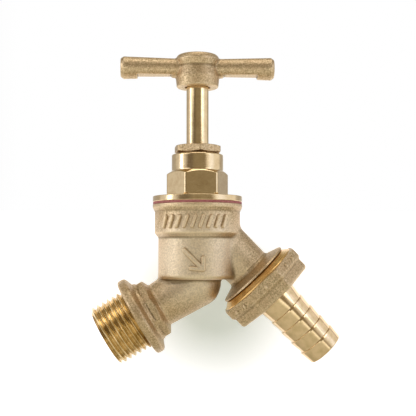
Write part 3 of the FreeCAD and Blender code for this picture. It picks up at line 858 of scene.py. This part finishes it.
def make_spindle():
    """Screw and shaft as one closed mesh, and the square as a second one, which starts inside the
    shaft."""
    start, end = 11.5, 24.5
    screw = thread_grid(start, end, radius=5.5, pitch=2.54, chamfer=0.4, reach=coarse_reach)
    corners = [(5.0, end, 0), (SHAFT_RADIUS, end, 0.2), (SHAFT_RADIUS, SHAFT_TOP, 0.15)]  # shaft
    corners += [(2.0, SHAFT_TOP, 0), (2.0, 19.0, 0), (2.56, 19.0, 0), (2.56, 10.4, 0.2)]  # jumper's hole
    corners += [(4.3, 10.4, 0.2), (4.3, start, 0)]  # foot
    mesh = closed_thread("spindle_rod", screw, corners, UPRIGHT)
    dressed(mesh, "spindle", ["spindle"], polished_brass)
    limits = np.array([(0, 66.0), (9, 66.0), (9, 74.4), (0, 74.4)])
    square = sided_grid(dense(limits, 1.0), lambda a, s: polygon_radius(a, 4, 5.18, 0.3, 45), 96)
    mesh = grid_mesh("spindle_square", [(square, 0)], UPRIGHT)
    dressed(mesh, "spindle", ["spindle"], polished_brass)


make_spindle()

# Crutch handle
# A brass casting with a round hub and two tapered arms, blasted like the body. A crease runs round the
# hub at the height of the arms, and each arm has a flat underneath.

ARM_HEIGHT = 71.25
hub_outline = rounded(
    [
        (0, 64.7, 0),
        (6.9, 64.7, 0.5),
        (7.3, 68.3, 1.2),
        (6.52, 71.6, 0.15),
        (6.85, 71.95, 0.15),
        (7.4, 73.8, 0.8),
        (6.75, 75.55, 1.3),
        (0, 76.1, 0),
    ]
)
arm_outline = rounded([(0, 0, 0), (3.0, 0, 0), (3.73, 24.55, 0.15), (3.05, 25.55, 0.3), (0, 25.6, 0)])


def handle_distance(points):
    """Distance to the handle: the hub joined to its two tapered arms, less the flat under each arm."""
    flat_middle, flat_half, flat_depth = 14.2, 5.8, 2.45
    radius, height = measured(points, UPRIGHT)
    x, y, z = points[:, 0], points[:, 1], points[:, 2] - ARM_HEIGHT
    hub = outline_distance(hub_outline, radius, height)
    arms = outline_distance(arm_outline, np.hypot(y, z), np.abs(x))
    handle = soft_union(hub, arms, blend=0.9)
    flats = np.maximum(np.abs(np.abs(x) - flat_middle) - flat_half, z + flat_depth)
    return -soft_min(-handle, flats, blend=0.2)


def make_handle():
    """The handle's skin: the CAD handle meshed evenly and drawn to the cast form. The socket for the
    square and the hole for the grub screw are kept."""
    mesh = voxel_mesh("handle_casting", merged_copy("crutch_handle"), 0.0002)
    points = mesh_points(mesh)
    radius, height = measured(points, UPRIGHT)
    socket = (radius < 4.6) & (height < 75.4) & (height > 64.75)
    x, y, z = points.T
    screw_hole = (np.hypot(x, z - 70.05) < 2.25) & (y > 0) & (y < 6.9)
    draw_skin(mesh, points, socket | screw_hole, handle_distance, 1.3)
    dressed(mesh, "spindle", ["crutch_handle"], cast_brass)


make_handle()


def make_steel():
    """Plated steel with faint scuffs."""
    material, tree, shader, place = new_material("plated_steel", metallic=1.0)
    scuffs = spread(tree, noise(tree, place, 1800, 3, 0.6), (0.35, 0.7), (0, 1))
    colour = blended(tree, scuffs, (0.55, 0.56, 0.58), (0.38, 0.39, 0.4))
    roughness = spread(tree, scuffs, (0, 1), (0.25, 0.4))
    feed(tree, shader, {"Base Color": colour, "Roughness": roughness})
    return material


finished("handle_grub_screw", make_steel())

# Hose tail
# Turned from brass bar: a flange that the union nut pulls onto a rubber washer, a tapered neck, and four
# barbs whose sharp steps hold the hose.

TAIL_BORE = 4.9
FIRST_BARB = 42.35
BARB_PITCH = 4.65
TAIL_END = 61.0

tail_brass = make_turned_brass(
    "tail_brass", OUTLET, (0.79, 0.59, 0.36), (0.64, 0.47, 0.25), (0.08, 0.15), 0.000004
)
finished("union_washer", black_rubber)


def make_tail():
    """Outline round the outlet's axis, with the barbs repeated along it: each steps up, runs level, and
    falls away to the next one or to the end's chamfer."""
    chamfer = 0.25
    corners = [(TAIL_BORE, 40.0, 0), (TAIL_BORE, 33.2, 0.2)]
    corners += [(9.6, 33.2, 0.15), (9.6, 34.7, 0.15)]  # flange
    corners += [(7.2, 34.7, 0.1), (7.2, 36.5, 0), (6.45, FIRST_BARB, 0.05)]  # neck
    for barb in range(4):
        step = FIRST_BARB + BARB_PITCH * barb
        foot = min(step + BARB_PITCH, TAIL_END - chamfer)
        corners += [(6.85, step, 0.06), (6.85, step + 0.5, 0.1), (6.4, foot, 0.05)]
    corners += [(6.4 - chamfer, TAIL_END, 0.05), (TAIL_BORE + chamfer, TAIL_END, 0.1)]  # end
    corners += [(TAIL_BORE, TAIL_END - chamfer, 0.05), (TAIL_BORE, 40.0, 0)]  # bore
    turned_piece("tail_barbs", corners, OUTLET, "tail", ["hose_tail"], tail_brass)


make_tail()

# Union nut
# A cast eight-sided nut in two tiers, with a golden turned bevel at the back and a lip in front that
# holds the tail. A few small round pips stand out of the wider tier.

NUT_BORE = 11.56
PIP_MAP_RADIUS = 15.0

bevel_brass = make_turned_brass(
    "bevel_brass", OUTLET, (0.86, 0.58, 0.25), (0.70, 0.43, 0.16), (0.2, 0.32), 0.00001
)


def make_nut_bevel():
    """Bevel as an outline round the outlet's axis, from the nut's bore to the edge of its flats."""
    corners = [(NUT_BORE, 29.6, 0), (NUT_BORE, 27.0, 0.1), (12.35, 27.0, 0.3)]
    corners += [(14.35, 28.55, 0.4), (14.5, 29.6, 0), (NUT_BORE, 29.6, 0)]
    turned_piece("nut_bevel", corners, OUTLET, "nut", ["union_nut"], bevel_brass)


make_nut_bevel()


def make_union_nut():
    """Outline round the outlet's axis, held inside an octagon's reach that the pips raise. The inset is
    a smooth step between the tiers, and a quarter circle at the front edge."""
    limit, front, rounding, tier_step = 17.0, 36.5, 1.1, 0.8
    edge_start = front - rounding
    rear = rounded([(NUT_BORE, 33.0, 0), (NUT_BORE, 28.75, 0), (14.0, 28.75, 0.3), (limit, 29.15, 0)])
    sides = np.column_stack([np.full(40, limit), np.linspace(29.3, edge_start, 40)])
    turn = np.linspace(0, math.pi / 2, 9)[1:]
    edge = np.column_stack([np.full(8, limit), edge_start + rounding * np.sin(turn)])
    face = [(limit, front, 0), (7.7, front, 0.2), (7.45, 36.2, 0.1), (7.45, 34.8, 0)]
    face += [(NUT_BORE, 34.8, 0), (NUT_BORE, 33.0, 0)]
    lip = dense(rounded(face)[1:], 0.3)
    outline = np.concatenate([dense(rear, 0.3), sides, edge, lip])
    climb = np.clip((outline[:, 1] - 31.7) / 1.3, 0, 1)
    inset = tier_step * climb * climb * (3 - 2 * climb)
    first = len(outline) - len(lip)
    inset[first:] += rounding
    inset[first - len(edge) : first] += rounding * (1 - np.cos(turn))
    pips = []
    for degrees in (-52, -36, 3, 40, 56):
        across = math.radians(degrees - 90) * PIP_MAP_RADIUS
        peak = 0.33 + 0.005 * abs(degrees)  # higher away from the front
        pips.append((across, 30.7, across, 31.0, 0.3, peak))

    def reach(angle, station):
        octagon = polygon_radius(angle, sides=8, flats=30.0, corner=1.6, first=115.5)
        across = ((angle + math.pi) % (2 * math.pi) - math.pi) * PIP_MAP_RADIUS
        return octagon + strokes_height(across, station, pips)

    shape = sided_grid(outline, reach, 512, inset[:, None])
    mesh = grid_mesh("union_octagon", [(shape, 0)], OUTLET)
    give_relief(mesh)
    dressed(mesh, "nut", ["union_nut"], cast_brass)


make_union_nut()

# Studio
# A pale floor with painted shade under the tap, a white card behind the tap that catches its soft shadow
# and has a painted shadow in its glow, lamps on both sides and above, and a room that is white behind the
# tap and dim towards the camera.

WHITE = (1.0, 1.0, 1.0)
TAP_MIDDLE = (0.023, 0.0, 0.03)
FLOOR_LEVEL = -0.045
FLOOR_FRONT = -0.6
CARD_DEPTH = 0.024


def toned(tree, share, stops):
    """Colour along a ramp of (place, tone) stops, where share says the place."""
    ramp = added(tree, "ValToRGB", {"Fac": share})
    for place, tone in stops:
        ramp.color_ramp.elements.new(place).color = (*tone, 1)
    for spare in (0, -1):
        ramp.color_ramp.elements.remove(ramp.color_ramp.elements[spare])
    return ramp.outputs["Color"]


def make_world():
    """Room seen by its direction: a ramp of tones round the horizon, from behind the tap over its left,
    front and right, which passes into one tone overhead and another one underfoot."""
    grey, olive, dusk = (0.5, 0.49, 0.47), (0.3, 0.26, 0.18), (0.18, 0.15, 0.11)
    left, left_strip = (0.76, 0.76, 0.76), (0.9, 0.94, 1.05)
    right, right_strip = (0.95, 0.95, 0.95), (1.2, 1.3, 1.55)
    horizon = [(-180, WHITE), (-169, WHITE), (-160, grey), (-118, grey)]
    horizon += [(-108, left), (-98, left), (-90, left_strip), (-74, left_strip), (-60, left)]
    horizon += [(-45, dusk), (-28, dusk), (-12, olive), (34, olive)]
    horizon += [(46, right), (55, right_strip), (68, right_strip), (80, right), (110, right)]
    horizon += [(118, grey), (152, grey), (161, WHITE), (180, WHITE)]
    world = bpy.data.worlds.new("studio")
    world.use_nodes = True
    tree = world.node_tree
    direction = added(tree, "TexCoord", {}).outputs["Generated"]
    parts = added(tree, "SeparateXYZ", {"Vector": direction}).outputs
    towards = calculated(tree, "Math", "MULTIPLY", parts["Y"], -1.0)
    bearing = calculated(tree, "Math", "ARCTAN2", parts["X"], towards)
    share = spread(tree, bearing, (-math.pi, math.pi), (0, 1))
    level = toned(tree, share, [((degrees + 180) / 360, tone) for degrees, tone in horizon])
    overhead = spread(tree, parts["Z"], (0.53, 0.7), (0, 1))
    underfoot = spread(tree, parts["Z"], (-0.04, -0.1), (0, 1))
    colour = blended(tree, overhead, level, (0.38, 0.33, 0.22))
    colour = blended(tree, underfoot, colour, (1.1, 1.02, 0.9))
    feed(tree, tree.nodes["Background"], {"Color": colour})
    bpy.context.scene.world = world


make_world()


def area_lamp(name, spot, width, height, power):
    """A soft lamp in metres, turned towards the tap's middle."""
    lamp = bpy.data.lights.new(name, "AREA")
    lamp.shape = "RECTANGLE"
    lamp.size = width
    lamp.size_y = height
    lamp.energy = power
    stand = bpy.data.objects.new(name, lamp)
    bpy.context.scene.collection.objects.link(stand)
    stand.location = spot
    aim = Vector(TAP_MIDDLE) - Vector(spot)
    stand.rotation_euler = aim.to_track_quat("-Z", "Y").to_euler()


area_lamp("key_lamp", (-0.36, -0.30, 0.27), width=0.22, height=0.22, power=0.2)
area_lamp("left_lamp", (-0.55, -0.13, 0.12), width=0.16, height=0.6, power=0.7)
area_lamp("right_lamp", (0.45, -0.40, 0.22), width=0.26, height=0.14, power=0.19)
area_lamp("top_lamp", (0.05, -0.10, 0.65), width=0.45, height=0.3, power=1.0)


def mixed_shader(tree, share, first, second):
    """First shader where the share is 0 and second where it is 1."""
    return added(tree, "MixShader", {0: share, 1: first, 2: second}).outputs[0]


def make_backdrop(name, points, paint_tone, share_of, stops):
    """A pale sheet that takes shadows, and glows where it is seen with the tone that its stops give for
    each place; dim stops paint shade into the glow. From behind it is clear."""
    mesh = bpy.data.meshes.new(name)
    mesh.from_pydata(points, [], [(0, 1, 2, 3)])
    material = bpy.data.materials.new(name)
    material.use_nodes = True
    tree = material.node_tree
    tree.nodes.remove(tree.nodes["Principled BSDF"])
    paint = added(tree, "BsdfDiffuse", {"Color": (*paint_tone, 1)}).outputs[0]
    place = added(tree, "TexCoord", {}).outputs["Object"]
    glow = added(tree, "Emission", {"Color": toned(tree, share_of(tree, place), stops)}).outputs[0]
    lit = added(tree, "AddShader", {0: paint, 1: glow}).outputs[0]
    rays = added(tree, "LightPath", {}).outputs
    direct = calculated(tree, "Math", "MAXIMUM", rays["Is Camera Ray"], rays["Is Glossy Ray"])
    behind = added(tree, "NewGeometry", {}).outputs["Backfacing"]
    clear = added(tree, "BsdfTransparent", {}).outputs[0]
    surface = mixed_shader(tree, behind, mixed_shader(tree, direct, paint, lit), clear)
    feed(tree, tree.nodes["Material Output"], {"Surface": surface})
    mesh.materials.append(material)
    sheet = bpy.data.objects.new(name, mesh)
    bpy.context.scene.collection.objects.link(sheet)


def depth_share(tree, place):
    """Place from the front to the back of the floor, as a share of its first metre."""
    depth = added(tree, "SeparateXYZ", {"Vector": place}).outputs["Y"]
    return spread(tree, depth, (FLOOR_FRONT, FLOOR_FRONT + 1), (0, 1))


def centre_share(tree, place):
    """Distance from the middle of the painted shadow behind the tap, as a share of its half width."""
    scaled = settled(tree, place, {"Location": (0.028, CARD_DEPTH, 0.004), "Scale": (0.045, 1.0, 0.04)})
    return calculated(tree, "VectorMath", "LENGTH", scaled)


floor_corners = [(-1.5, FLOOR_FRONT), (1.5, FLOOR_FRONT), (1.5, 1.5), (-1.5, 1.5)]
floor_points = [(x, y, FLOOR_LEVEL) for x, y in floor_corners]
card_corners = [(-0.06, -0.044), (0.11, -0.044), (0.11, 0.036), (-0.06, 0.036)]
card_points = [(x, CARD_DEPTH, z) for x, z in card_corners]
front_glow, painted_under_tap_shade, painted_shadow_glow = (1.0, 1.05, 1.0), (0.26, 0.26, 0.2), (0.24, 0.3, 0.24)
# painted shade: the floor's glow is dim under and round the tap, between the bright front and the white
# back
floor_stops = [(0.3, front_glow), (0.45, painted_under_tap_shade), (0.64, painted_under_tap_shade), (0.7, WHITE)]
# painted shadow: the card's glow is dim in the middle behind the tap and white further out
card_stops = [(0.25, painted_shadow_glow), (0.9, WHITE)]
make_backdrop("studio_floor", floor_points, (0.6, 0.6, 0.56), depth_share, floor_stops)
make_backdrop("studio_card", card_points, (0.8, 0.78, 0.84), centre_share, card_stops)


def make_camera():
    """Camera at the photograph's angle: a little round to the left of the tap's front, a little below
    its middle and tilted up."""
    tilt, turn = 2.91, -2.9
    camera = bpy.data.cameras.new("camera")
    camera.sensor_width = 36.0
    camera.lens = 73.2
    camera.clip_start = 0.01
    stand = bpy.data.objects.new("camera", camera)
    bpy.context.scene.collection.objects.link(stand)
    stand.location = (0.0091, -0.2798, 0.0220)
    stand.rotation_euler = (math.radians(90 + tilt), 0, math.radians(turn))
    bpy.context.scene.camera = stand


make_camera()
bpy.context.scene.view_settings.view_transform = "Standard"
